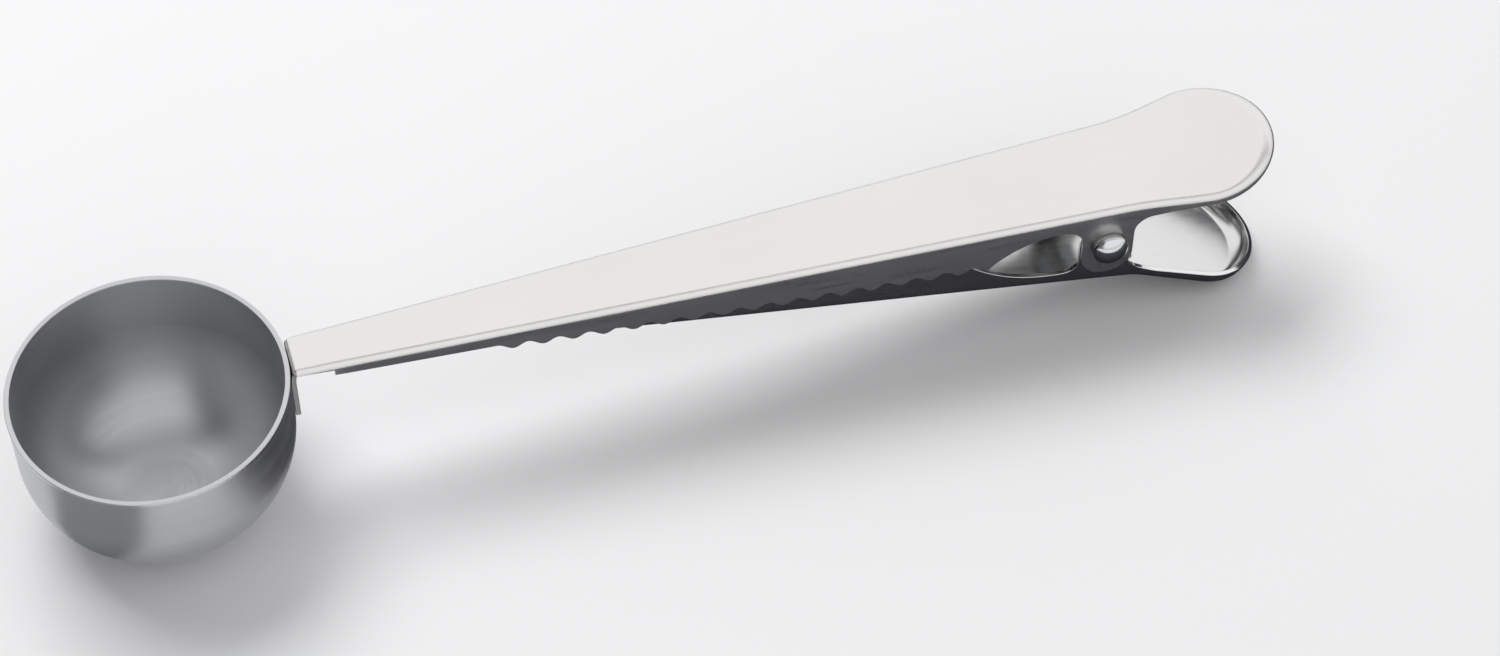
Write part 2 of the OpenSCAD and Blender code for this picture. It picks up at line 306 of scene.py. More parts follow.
def add_brush_map(data, points):
    """A map whose U runs along the length, so that the grain and its shine do too."""
    layer = data.uv_layers.new(name="brush")
    index = np.zeros(len(data.loops), np.int32)
    data.loops.foreach_get("vertex_index", index)
    p = points[index]
    uv = np.stack([p[:, 0], p[:, 1] + 1.37 * p[:, 2]], 1) * 0.01
    layer.data.foreach_set("uv", uv.astype(np.float32).ravel())


def add_piece(name, data, body, replaced, material):
    piece = bpy.data.objects.new(name, data)
    bpy.context.scene.collection.objects.link(piece)
    data.materials.append(material)
    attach(piece, body)
    if replaced:
        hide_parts(*replaced)
    return piece


def arc(centre, radius, start, end, step=4.0):
    """Points of an arc in degrees, both ends included."""
    count = max(2, int(abs(end - start) / step) + 2)
    a = np.radians(np.linspace(start, end, count))
    return [np.array([centre[0] + radius * c, centre[1] + radius * s])
            for c, s in zip(np.cos(a), np.sin(a))]


def revolve(profile, segments, axis_frame):
    """Turns a profile of (radius, height, edge mark) round an axis: its origin, side and up."""
    origin, side, up = axis_frame
    front = np.cross(up, side)
    prof = np.array(profile, float)
    n = len(prof)
    tangent = np.roll(prof[:, :2], -1, 0) - np.roll(prof[:, :2], 1, 0)
    tangent[0] = prof[1, :2] - prof[0, :2]
    tangent[-1] = prof[-1, :2] - prof[-2, :2]
    normal = unit(np.stack([tangent[:, 1], -tangent[:, 0]], 1))
    soup = Soup()
    rows = []
    for k in range(segments):
        a = 2 * math.pi * k / segments
        out = math.cos(a) * side + math.sin(a) * front
        pts = origin + prof[:, :1] * out + prof[:, 1:2] * up
        nrm = normal[:, :1] * out + normal[:, 1:] * up
        first = len(soup.points)
        for p, m, e in zip(pts, nrm, prof[:, 2]):
            soup.points.append(p)
            soup.normals.append(m)
            soup.edge.append(e)
        rows.append(first)
    for k in range(segments):
        a, b = rows[k], rows[(k + 1) % segments]
        for i in range(n - 1):
            soup.faces.append([a + i, b + i, b + i + 1, a + i + 1])
    return soup


# ---------------------------------------------------------------- bent sheet
class Path:
    """Half of a pressing's outline in plan, on the -Y side, with its outward normals."""

    def __init__(self):
        self.p, self.n = [], []

    def line(self, start, end, angle, step):
        count = max(1, int(math.ceil(np.linalg.norm(np.subtract(end, start)) / step)))
        for k in range(count + 1):
            self.put(np.array(start) + (np.array(end) - start) * k / count, angle)

    def turn(self, centre, radius, start, end, outside=False):
        """An arc whose normal turns from start to end degrees.

        outside: the centre is outside the sheet.
        """
        count = max(2, int(abs(end - start) / 3) + 1)
        for a in np.linspace(start, end, count + 1):
            r = math.radians(a)
            d = np.array([math.cos(r), math.sin(r)])
            self.put(np.array(centre) + (-radius if outside else radius) * d, a)

    def put(self, point, angle):
        if self.p and np.linalg.norm(self.p[-1] - point) < 1e-6:
            return
        self.p.append(np.array(point, float))
        self.n.append(angle)

    def close(self):
        self.p, self.n = np.array(self.p), np.array(self.n)
        step = np.linalg.norm(np.diff(self.p, axis=0), axis=1)
        self.u = np.concatenate([[0], np.cumsum(step)])
        return self

    def at(self, u):
        x = np.interp(u, self.u, self.p[:, 0])
        y = np.interp(u, self.u, self.p[:, 1])
        a = np.radians(np.interp(u, self.u, self.n))
        return x, y, np.cos(a), np.sin(a)

    def u_at_x(self, x, after=0.0):
        """Distance along the path at a position x, where x only grows along it."""
        keep = self.u >= after
        return np.interp(x, self.p[keep, 0], self.u[keep])


class Pressing:
    """A sheet with sides bent round its outline.

    A point is (u, v): u is the distance along the outline and v is below 0 on the flat part,
    0 to 1 round the bend and 1 + distance further out. n is the height above the outer face.
    """

    def __init__(self, path, bend, turn, floor):
        self.path, self.bend, self.turn, self.floor = path, bend, turn, floor
        self.adjust = None

    def at_height(self, u, height):
        """The v at which the side reaches a height."""
        bend, turn = self.bend(u), np.radians(self.turn(u))
        return 1 + (height - bend * (1 - np.cos(turn))) / np.sin(turn)

    def place(self, uv, n=0.0):
        uv = np.atleast_2d(np.array(uv, float))
        u, v = uv[:, 0], uv[:, 1]
        x, y, nx, ny = self.path.at(u)
        bend, turn = self.bend(u), np.radians(self.turn(u))
        angle = np.clip(v, 0, 1) * turn
        r = bend + n
        past = np.maximum(v - 1, 0)
        out = np.minimum(v, 0) - bend + r * np.sin(angle) + past * np.cos(turn)
        height = bend - r * np.cos(angle) + past * np.sin(turn)
        points = self.floor(np.stack([x + out * nx, y + out * ny], 1), height)
        if self.adjust is not None:
            points = self.adjust(points)
        return points

    def surface(self, uv):
        points = self.place(uv)
        h = 1e-3
        return points, unit(self.place(uv, h) - self.place(uv, -h))


def fill(loop, extra=()):
    """Triangles that fill a loop of 2-D points and use the extra points inside it, as indexes."""
    n = len(loop)
    points = [Vector((float(p[0]), float(p[1]))) for p in list(loop) + list(extra)]
    edges = [(i, (i + 1) % n) for i in range(n)]
    _, _, faces, origin, _, _ = delaunay_2d_cdt(points, edges, [], 1, 1e-7)
    return [[origin[i][0] for i in f] for f in faces]


def inset(points, distance, start_normal, end_normal):
    """An open line of points moved to its left. Its ends move along the normals given."""
    p = np.array(points, float)
    d = unit(np.diff(p, axis=0))
    left = np.stack([-d[:, 1], d[:, 0]], 1)
    out = p.copy()
    for i in range(len(p)):
        if i == 0 or i == len(p) - 1:
            out[i] += distance * np.array(start_normal if i == 0 else end_normal)
            continue
        s = left[i - 1] + left[i]
        out[i] += distance * s / max(1 + left[i - 1] @ left[i], 0.35)
    return out


def tidy_line(points, least=0.02):
    """The line without the points that are closer together than least."""
    out = [np.array(points[0], float)]
    for p in points[1:]:
        if np.linalg.norm(np.array(p) - out[-1]) > least:
            out.append(np.array(p, float))
    return out


def thick(points, normals, faces, free, free_dir):
    """A closed half sheet from its outer surface. free lists its open edge, rounded all along."""
    soup = Soup()
    outer = soup.add(points, normals)
    inner = soup.add(points - SHEET * normals, -normals)
    for f in faces:
        soup.faces.append([outer[i] for i in f])
        soup.faces.append([inner[i] for i in f])
    p, m = points[free], normals[free]
    e = unit(free_dir - (free_dir * m).sum(1, keepdims=True) * m)
    rows = [[outer[i] for i in free]]
    for side in (1, -1):
        base = p if side == 1 else p - SHEET * m
        steps = (1, 2, 3) if side == 1 else (3, 2, 1)
        for k in steps:
            a = math.pi / 2 * k / 3
            place = base + EDGE_R * (math.sin(a) * e - side * (1 - math.cos(a)) * m)
            rows.append(soup.add(place, side * math.cos(a) * m + math.sin(a) * e, 1.0))
    rows.append([inner[i] for i in free])
    for a, b in zip(rows, rows[1:]):
        for i in range(len(free) - 1):
            soup.faces.append([a[i], a[i + 1], b[i + 1], b[i]])
    return soup


# ---------------------------------------------------------------- scoop bowl
def bowl_profile():
    """(radius, height, edge mark) from the middle of the base, up the outside and back inside."""
    base_r = BOWL_WALL_R - BOWL_CORNER_R
    lip_z = RIM_Z - LIP_H
    out = [(0.0, 0.0, 0.0), (base_r * 0.5, 0.0, 0.0)]
    out += [(p[0], p[1], 0.0) for p in arc((base_r, BOWL_CORNER_R), BOWL_CORNER_R, -90, 0)]
    out += [(BOWL_WALL_R, lip_z - 0.14, 0.0), (BOWL_WALL_R + 0.02, lip_z - 0.04, 0.3)]
    out += [(RIM_R - 0.03, lip_z + 0.02, 0.6), (RIM_R, lip_z + 0.08, 0.8)]
    corner = (RIM_R - LIP_EDGE, RIM_Z - LIP_EDGE)
    out += [(p[0], p[1], 0.5) for p in arc(corner, LIP_EDGE, 0, 90, 22)]
    inner_r = BOWL_WALL_R - BOWL_T
    corner = (inner_r + LIP_EDGE, RIM_Z - LIP_EDGE)
    out += [(p[0], p[1], 0.5) for p in arc(corner, LIP_EDGE, 90, 180, 22)]
    out += [(inner_r, RIM_Z - 0.4, 0.0), (inner_r, BOWL_CORNER_R + 3, 0.0)]
    inside = arc((base_r, BOWL_CORNER_R), BOWL_CORNER_R - BOWL_T, 0, -90)
    out += [(p[0], p[1], 0.0) for p in inside]
    out += [(base_r * 0.5, BOWL_T, 0.0), (0.0, BOWL_T, 0.0)]
    return out


def build_bowl(material):
    up, side = np.array([0.0, 0.0, 1.0]), np.array([1.0, 0.0, 0.0])
    soup = revolve(bowl_profile(), BOWL_SEGMENTS, (np.zeros(3), side, up))
    data = soup.mesh("scoop_bowl_shell")
    return add_piece("scoop_bowl_shell", data, "scoop", ["scoop_bowl"], material)


# ---------------------------------------------------------------- handle
def half_width(x):
    """Half of the handle's width along its straight sides."""
    return (NECK_W + TAPER * (x - NECK_X)) / 2


def handle_path():
    """The handle's outline: across the neck, along the side, out to the thumb end and round it."""
    reach = math.hypot(THUMB_X - FLARE_X, half_width(FLARE_X))
    flare = math.degrees(
        math.asin(THUMB_R / reach) - math.atan2(half_width(FLARE_X), THUMB_X - FLARE_X)
    )
    side, wide = 270 - TAPER_DEG, 270 - flare
    cx = START_X + CORNER_R
    cy = CORNER_R / math.cos(math.radians(TAPER_DEG)) - half_width(cx)
    knee = np.array([FLARE_X, -half_width(FLARE_X)])
    start = knee - polar(side + 90, FLARE_BLEND)
    end = knee + polar(wide + 90, FLARE_BLEND)
    blend_r = FLARE_BLEND / math.tan(math.radians((flare - TAPER_DEG) / 2))
    touch = np.array([THUMB_X, 0]) + polar(wide, THUMB_R)
    path = Path()
    path.line((START_X, 0), (START_X, cy), 180, 0.35)
    path.turn((cx, cy), CORNER_R, 180, side)
    path.line(path.p[-1], start, side, 5.0)
    path.turn(start + polar(side, blend_r), blend_r, side, wide, outside=True)
    path.line(end, touch, wide, 3.0)
    path.turn((THUMB_X, 0), THUMB_R, wide, 360)
    return path.close()


def wave_middle(x):
    """Depth of the middle line of the scallops."""
    past = x - WAVE_MID_X
    return WAVE_MID + WAVE_SLOPE * past - WAVE_LEVELLING * past**2


def handle_edge(path):
    """The free edge of the handle's -Y half as (distance along the outline, depth)."""
    corner = path.u_at_x(START_X + CORNER_R, 3.0)
    edge = [np.array(p) for p in arc((0.0, TAB_DEPTH - TAB_HALF), TAB_HALF, 90, 0, 6)]
    edge += [np.array([TAB_HALF, d]) for d in np.arange(TAB_DEPTH - TAB_HALF - 1, 2.2, -1.0)]
    step = 0.3
    edge += arc((TAB_HALF + step, NOTCH_DEPTH + step), step, 180, 270, 18)

    def at(x, depth):
        edge.append(np.array([path.u_at_x(x, corner), depth]))

    for x in np.linspace(START_X + 2.5, NOTCH_X - 0.25, 3):
        at(x, NOTCH_DEPTH)
    at(NOTCH_X - 0.06, NOTCH_DEPTH + 0.05)
    at(NOTCH_X, NOTCH_DEPTH + 0.2)
    at(NOTCH_X, SIDE_DEPTH - 0.2)
    at(NOTCH_X + 0.06, SIDE_DEPTH - 0.05)
    at(NOTCH_X + 0.25, SIDE_DEPTH)
    valley = wave_middle(WAVE_X) - WAVE_H / 2
    for k in range(1, 8):
        x = NOTCH_X + (WAVE_X - NOTCH_X) * k / 8
        at(x, SIDE_DEPTH + (valley - SIDE_DEPTH) * k / 8)
    last = WAVE_X + (WAVES - 0.5) * WAVE_PITCH
    for x in np.linspace(WAVE_X, last, 16 * WAVES - 7):
        phase = 2 * math.pi * (x - WAVE_X) / WAVE_PITCH
        at(x, wave_middle(x) - WAVE_H / 2 * math.cos(phase))
    ear_left, ear_right = PIN[0] - EAR_HALF, PIN[0] + EAR_HALF
    corner_x = ear_left - WINDOW_CORNER
    meet = math.degrees(math.acos((corner_x - last) / WINDOW_R))
    for p in arc((corner_x, WINDOW_TOP + WINDOW_R), WINDOW_R, 180 + meet, 270, 3)[1:]:
        at(*p)
    for p in arc((corner_x, WINDOW_TOP + WINDOW_CORNER), WINDOW_CORNER, 270, 360, 9)[1:]:
        at(*p)
    for p in arc((PIN[0], EAR_FOOT), EAR_HALF, 180, 0, 6):
        at(*p)
    centre = (ear_right + HEEL_FILLET, HEEL_TOP + HEEL_FILLET)
    for p in arc(centre, HEEL_FILLET, 180, 270, 8):
        at(*p)
    for x, depth in HEEL_RUN:
        at(x, depth)
    for u in np.linspace(path.u_at_x(THUMB_EDGE_X, corner), path.u[-1], 40):
        edge.append(np.array([u, THUMB_DEPTH]))
    return tidy_line(edge)


def build_handle(material):
    path = handle_path()
    side_u = path.u_at_x(START_X + 5.0, 3.0)

    def bend(u):
        marks = [0, 2.6, side_u, path.u[-1] - 1.45 * THUMB_R, path.u[-1] - 0.7 * THUMB_R]
        return np.interp(u, marks, [TAB_BEND, TAB_BEND, BEND_R, BEND_R, THUMB_BEND])

    def turn(u):
        return np.full_like(np.asarray(u, float), 90.0)

    def floor(plan, height):
        """Flat as far as LIFT_X, and then a gentle curve up to the thumb end."""
        past = np.maximum(plan[:, 0] - LIFT_X, 0)
        slope = np.arctan(2 * LIFT * past)
        x = plan[:, 0] + height * np.sin(slope)
        z = TOP_Z + LIFT * past**2 - height * np.cos(slope)
        return np.stack([x, plan[:, 1], z], 1)

    def hug(points):
        """The end tab leans in to lie on the bowl's wall."""
        depth = TOP_Z - points[:, 2]
        ease = smooth(np.clip((depth - TAB_LEAN_DEPTH) / TAB_LEAN_OVER, 0, 1))
        ease = ease * (points[:, 0] < START_X + 1.2)
        wall = np.sqrt(np.maximum(BOWL_WALL_R**2 - points[:, 1] ** 2, 1)) + 0.01
        out = points.copy()
        out[:, 0] += ease * (wall - START_X)
        return out

    pressing = Pressing(path, bend, turn, floor)
    pressing.adjust = hug
    edge = np.array(handle_edge(path))
    edge[:, 1] = pressing.at_height(edge[:, 0], edge[:, 1])
    back = inset(edge, -EDGE_R, (0, 1), (0, 1))
    seam, inside = tab_points(pressing)
    half = half_pressing(pressing, edge, back, path.u, seam, inside)
    # Painted shade: the end tab, below the handle's neck and against the bowl, gets a darker
    # colour.
    half.edge = [
        TAB_PAINTED_SHADE if p[0] < START_X + 0.9 and p[2] < TOP_Z - 1.2 else mark
        for p, mark in zip(half.points, half.edge)
    ]
    data = half.mirrored().mesh("handle_pressing")
    return add_piece("handle_pressing", data, "scoop", ["handle"], material)


def tab_points(pressing):
    """Points on the end tab, so that it follows the bowl's curve."""
    seam, inside = [], []
    for depth in np.arange(1.4, TAB_DEPTH - 0.3, 0.5):
        v = float(pressing.at_height(np.array([0.0]), depth)[0])
        seam.append((0.0, v))
        for u in np.arange(0.4, TAB_HALF - 0.25, 0.4):
            low = depth - (TAB_DEPTH - TAB_HALF)
            if low < 0 or math.hypot(u, low) < TAB_HALF - 0.25:
                inside.append((u, v))
    return seam, inside


def half_pressing(pressing, edge, back, columns, seam=(), inside=(), tip=False):
    """The -Y half of a pressing. edge is its free edge, and back is that edge set in.

    tip: the flat part and the bend also end in a free edge, at the first column.
    """
    rows, path = 10, pressing.path
    uv, faces = [], []
    for u in columns:
        uv += [(u, k / rows) for k in range(rows + 1)]
    starts = [j * (rows + 1) for j in range(len(columns))]
    for a, b in zip(starts, starts[1:]):
        faces += [[a + k, a + k + 1, b + k + 1, b + k] for k in range(rows)]
    rim = list(range(len(uv), len(uv) + len(back) - (1 if tip else 0)))
    uv += [tuple(q) for q in back[1 if tip else 0:]]
    loop = [a + rows for a in starts] + rim[::-1]
    loop += list(range(len(uv), len(uv) + len(seam)))
    uv += list(reversed(seam))
    first = len(uv)
    uv += list(inside)
    for f in fill([uv[i] for i in loop], inside):
        faces.append([loop[i] if i < len(loop) else first + i - len(loop) for i in f])
    points, normals = pressing.surface(uv)
    centre = flat_part(pressing, columns, starts, faces, len(points))
    points = np.vstack([points, centre[0]])
    normals = np.vstack([normals, centre[1]])
    free = rim
    reach = pressing.place(edge[1 if tip else 0:]) - points[rim]
    if tip:
        column = list(range(rows + 1))
        ends = pressing.place([(0.0, k / rows) for k in column]) - points[column]
        free = [len(uv)] + column + rim
        reach = np.vstack([ends[:1], ends, reach])
    return thick(points, normals, faces, np.array(free), reach)


def flat_part(pressing, columns, starts, faces, first):
    """Fills from the bend's inner edge to the middle. Returns the middle's points and normals."""
    x, y, nx, ny = pressing.path.at(np.array(columns))
    angle = np.interp(columns, pressing.path.u, pressing.path.n)
    bend = pressing.bend(np.array(columns))
    along = x - bend * nx
    on_side = list(range(int(np.argmax(angle > 265)), len(columns)))
    middle = {j: first + k for k, j in enumerate(on_side)}
    j0 = on_side[0]
    if j0:
        faces.append([starts[j] for j in range(j0 + 1)] + [middle[j0]])
    for j in on_side[:-1]:
        faces.append([starts[j], starts[j + 1], middle[j + 1], middle[j]])
    plan = np.stack([along[on_side], np.zeros(len(on_side))], 1)
    points = pressing.floor(plan, np.zeros(len(on_side)))
    below = pressing.floor(plan, np.full(len(on_side), 1e-3))
    return points, unit(points - below)


# ---------------------------------------------------------------- lower jaw and finger lever
def floor_curve():
    """The floor's outer face in side view: distance along it, x, z and slope in degrees."""
    half = math.radians(LEVER_TILT - JAW_TILT) / 2
    mean = math.radians(LEVER_TILT + JAW_TILT) / 2
    knee_x = HEEL_X - SHEET * math.sin(mean) / math.cos(half)
    knee_z = HEEL_Z - SHEET * math.cos(mean) / math.cos(half)
    heel = (knee_x - JAW_TIP_X) / math.cos(math.radians(JAW_TILT))
    p = np.concatenate([
        [-4.0, 0.0], np.linspace(heel - HEEL_SPREAD, heel + HEEL_SPREAD, 25), [heel + 30]
    ])
    slope = np.interp(p, [heel - HEEL_SPREAD, heel + HEEL_SPREAD], [JAW_TILT, LEVER_TILT])
    mid = np.radians((slope[1:] + slope[:-1]) / 2)
    step = np.diff(p)
    x = np.concatenate([[0], np.cumsum(step * np.cos(mid))])
    z = -np.concatenate([[0], np.cumsum(step * np.sin(mid))])
    x += JAW_TIP_X - x[1]
    z += knee_z + heel * math.sin(math.radians(JAW_TILT)) - z[1]
    return heel, p, x, z, slope


def jaw_path(heel):
    """The jaw's outline, laid out flat: along the side, out to the lever's end and round it."""
    tip_half = half_width(JAW_TIP_X) - SHEET - JAW_GAP
    heel_half = half_width(HEEL_X) - SHEET - JAW_GAP
    taper = math.degrees(math.atan((heel_half - tip_half) / heel))
    knee = np.array([heel + 0.6, -(heel_half + 0.6 * math.tan(math.radians(taper)))])
    centre = np.array([heel + LEVER_CENTRE, 0.0])
    reach = centre - knee
    flare = math.degrees(
        math.asin(LEVER_R / np.linalg.norm(reach)) - math.atan2(reach[1], reach[0])
    )
    side, wide = 270 - taper, 270 - flare
    start = knee - polar(side + 90, LEVER_BLEND)
    end = knee + polar(wide + 90, LEVER_BLEND)
    blend_r = LEVER_BLEND / math.tan(math.radians((flare - taper) / 2))
    path = Path()
    path.line((0, -tip_half), start, side, 4.0)
    path.n[0] = 270
    path.turn(start + polar(side, blend_r), blend_r, side, wide, outside=True)
    path.line(end, centre + polar(wide, LEVER_R), wide, 1.5)
    path.turn(centre, LEVER_R, wide, 360)
    return path.close()


def jaw_edge(path, heel, p0, height_at):
    """The jaw's free edge from the tip to the lever's end: distance along and height."""
    tilt = math.radians(JAW_TILT)
    edge = []

    def at(x, z):
        dx, dz = x - p0[0], z - p0[1]
        along = dx * math.cos(tilt) - dz * math.sin(tilt)
        edge.append(np.array([path.u_at_x(along), dx * math.sin(tilt) + dz * math.cos(tilt)]))

    tip_h = (JAW_TOP - p0[1]) * math.cos(tilt)
    edge.append(np.array([0.0, JAW_BEND]))
    for a in np.radians(np.linspace(180, 90, 8)):
        edge.append(np.array([
            TIP_ROUND * (1 + math.cos(a)), tip_h - TIP_ROUND + TIP_ROUND * math.sin(a)
        ]))
    top_end = SCOOP_X - math.sqrt(SCOOP_R**2 - (SCOOP_LOW + SCOOP_R - JAW_TOP) ** 2)
    for x in np.linspace(JAW_TIP_X + 2.5, top_end - 0.3, 14):
        at(x, JAW_TOP)
    begin = math.degrees(math.atan2(JAW_TOP - SCOOP_LOW - SCOOP_R, top_end - SCOOP_X))
    for q in arc((SCOOP_X, SCOOP_LOW + SCOOP_R), SCOOP_R, begin, -90, 3)[1:]:
        at(*q)
    ear_left, ear_right = PIN[0] - EAR_HALF, PIN[0] + EAR_HALF
    small = ear_left - SCOOP_X
    for q in arc((SCOOP_X, SCOOP_LOW + small), small, -90, 0, 9)[1:]:
        at(*q)
    for q in arc((PIN[0], PIN[2]), EAR_HALF, 180, 0, 6):
        at(*q)
    for z in LEVER_RISE:
        at(ear_right, z)
    start = edge[-1]
    end = np.array([path.u_at_x(heel + 3.0), 0.0])
    end[1] = height_at(end[0])
    bend_at = np.array([start[0] + 0.25, end[1] + 0.1])
    for t in np.linspace(0, 1, 12)[1:]:
        edge.append((1 - t) ** 2 * start + 2 * t * (1 - t) * bend_at + t * t * end)
    for u in np.linspace(end[0], path.u[-1], 60)[1:]:
        edge.append(np.array([u, height_at(u)]))
    return tidy_line(edge)


def build_jaw(material):
    heel, p, x, z, slope = floor_curve()
    path = jaw_path(heel)

    def round_share(u):
        """How far the outline has turned round the lever's end, from 0 to 1."""
        angle = np.interp(u, path.u, path.n)
        return smooth(np.clip((angle - 280) / 65, 0, 1))

    def bend(u):
        return JAW_BEND + (RIM_BEND_END - JAW_BEND) * round_share(u)

    def turn(u):
        return 90 - (90 - RIM_TURN_END) * round_share(u)

    def floor(plan, height):
        a = np.radians(np.interp(plan[:, 0], p, slope))
        px = np.interp(plan[:, 0], p, x) + height * np.sin(a)
        pz = np.interp(plan[:, 0], p, z) + height * np.cos(a)
        return np.stack([px, plan[:, 1], pz], 1)

    def height_at(u):
        along = float(np.interp(u, path.u, path.p[:, 0])) - heel
        return float(np.interp(along, [1.0, 20.0], [RIM_H_HEEL, RIM_H_END]))

    pressing = Pressing(path, bend, turn, floor)
    edge = np.array(jaw_edge(path, heel, (x[1], z[1]), height_at))
    edge[:, 1] = pressing.at_height(edge[:, 0], edge[:, 1])
    edge[0, 1] = 1.0
    back = inset(edge, -EDGE_R, (-1, 0), (0, 1))
    columns = np.concatenate([[EDGE_R], path.u[path.u > 0.5]])
    half = half_pressing(pressing, edge, back, columns, tip=True)
    data = half.mirrored().mesh("lower_jaw_pressing")
    return add_piece("lower_jaw_pressing", data, "jaw", ["lower_jaw"], material)


# ---------------------------------------------------------------- rivet
def rivet_profile():
    """(radius, distance along the axis, edge mark), from one dome to the other."""
    tip = RIVET_HIGH[1]
    reach = HEAD_CROWN - HEAD_EDGE
    spread = math.asin((HEAD_R - HEAD_EDGE) / reach)
    turn = 90 - math.degrees(spread)
    edge_at = tip - HEAD_CROWN + reach * math.cos(spread)
    base = edge_at - HEAD_SIDE
    half = [(q[0], q[1], 0.0) for q in arc((0, tip - HEAD_CROWN), HEAD_CROWN, 90, turn, 4)]
    rounded = arc((HEAD_R - HEAD_EDGE, edge_at), HEAD_EDGE, turn, 0, 7)[1:]
    half += [(q[0], q[1], 0.0) for q in rounded]
    # The head's side and underside are marked -1: painted shade darkens their colour, and the
    # steel there is also rougher.
    half += [(HEAD_R, edge_at - 0.12, -1.0), (HEAD_R, base, -1.0)]
    half += [(PIN_R, base - 0.02, -1.0), (PIN_R, 0.0, 0.0)]
    back = [(r, -h, e) for r, h, e in half[::-1]]
    return (half + back[1:])[::-1]


def build_rivet(material):
    up, side = np.array([0.0, 1.0, 0.0]), np.array([1.0, 0.0, 0.0])
    soup = revolve(rivet_profile(), RIVET_SEGMENTS, (np.array([PIN[0], 0, PIN[2]]), side, up))
    data = soup.mesh("pivot_rivet_turned")
    return add_piece(
        "pivot_rivet_turned", data, "scoop", ["pivot_rivet"], material
    )


# ---------------------------------------------------------------- spring
def spring_path():
    """Centre line of the wire: low leg, coil round the shank, high leg."""
    low = np.array([LOW_LEG_X, SPRING_LOW[2] + WIRE_R])
    high = np.array([HIGH_LEG_X, TOP_Z - SHEET - 0.05 - WIRE_R])
    pin = np.array([PIN[0], PIN[2]])

    def touch(point, side):
        d = point - pin
        return math.atan2(d[1], d[0]) + side * math.acos(COIL_R / np.linalg.norm(d))

    start, end = touch(low, 1), touch(high, -1) + 2 * math.pi * (COIL_TURNS + 1)
    half = SPRING_HIGH[1] - WIRE_R
    out = [np.array([low[0], -half, low[1]])]
    mid = np.array([pin[0] + COIL_R * math.cos(start), pin[1] + COIL_R * math.sin(start)])
    out += [out[0] + (np.array([mid[0], -half, mid[1]]) - out[0]) * t for t in (0.3, 0.6, 0.85)]
    for a in np.linspace(start, end, COIL_STEPS * COIL_TURNS):
        y = half * (2 * (a - start) / (end - start) - 1)
        out.append(np.array([pin[0] + COIL_R * math.cos(a), y, pin[1] + COIL_R * math.sin(a)]))
    out += [out[-1] + (np.array([high[0], half, high[1]]) - out[-1]) * t for t in (0.4, 0.8, 1)]
    return out


def build_spring(material):
    path = np.array(spring_path())
    tangent = unit(np.gradient(path, axis=0))
    sides, soup, rings = WIRE_SIDES, Soup(), []
    for p, t in zip(path, tangent):
        u = unit(np.array([0, 1.0, 0]) - t[1] * t)
        v = np.cross(t, u)
        a = 2 * math.pi * np.arange(sides) / sides
        out = np.cos(a)[:, None] * u + np.sin(a)[:, None] * v
        rings.append(soup.add(p + WIRE_R * out, out))
    for a, b in zip(rings, rings[1:]):
        for k in range(sides):
            m = (k + 1) % sides
            soup.faces.append([a[k], b[k], b[m], a[m]])
    for ring, end, way in ((rings[0], 0, -1), (rings[-1], -1, 1)):
        cap = soup.add(np.array(soup.points)[ring] + way * 0.001 * tangent[end],
                       np.repeat(way * tangent[end:end + 1 or None], sides, 0))
        soup.faces.append(cap)
        for k in range(sides):
            m = (k + 1) % sides
            soup.faces.append([ring[k], ring[m], cap[m], cap[k]])
    data = soup.mesh("torsion_spring_wire")
    piece = bpy.data.objects.new("torsion_spring_wire", data)
    bpy.context.scene.collection.objects.link(piece)
    data.materials.append(material)
    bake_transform(piece)
    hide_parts("torsion_spring")
    return piece


# ---------------------------------------------------------------- materials
class Nodes:
    """A short way to write a node tree."""

    def __init__(self, tree):
        self.tree = tree
        tree.nodes.clear()

    def new(self, kind, **settings):
        node = self.tree.nodes.new("ShaderNode" + kind)
        for key, value in settings.items():
            setattr(node, key, value)
        return node

    def link(self, out, into):
        self.tree.links.new(out, into)

    def math(self, operation, a, b=0.0):
        node = self.new("Math", operation=operation)
        for socket, value in zip(node.inputs, (a, b)):
            if hasattr(value, "links"):
                self.link(value, socket)
            else:
                socket.default_value = value
        return node.outputs[0]

    def noise(self, vector, scale, detail=2.0, rough=0.5):
        """Noise from 0 to 1 on a vector stretched by scale."""
        node = self.new("Mapping")
        node.inputs["Scale"].default_value = scale
        self.link(vector, node.inputs["Vector"])
        noise = self.new("TexNoise")
        noise.inputs["Scale"].default_value = 1.0
        noise.inputs["Detail"].default_value = detail
        noise.inputs["Roughness"].default_value = rough
        self.link(node.outputs[0], noise.inputs["Vector"])
        return noise.outputs["Fac"]

    def spread(self, value, low, high):
        node = self.new("MapRange")
        self.link(value, node.inputs["Value"])
        node.inputs["From Min"].default_value = 0.25
        node.inputs["From Max"].default_value = 0.75
        node.inputs["To Min"].default_value = low
        node.inputs["To Max"].default_value = high
        return node.outputs[0]

    def mix(self, share, a, b):
        node = self.new("Mix", data_type="RGBA")
        self.link(share, node.inputs["Factor"])
        for name, value in (("A", a), ("B", b)):
            socket = [i for i in node.inputs if i.name == name and i.type == "RGBA"][0]
            if hasattr(value, "links"):
                self.link(value, socket)
            else:
                socket.default_value = (*value, 1.0)
        return [o for o in node.outputs if o.type == "RGBA"][0]


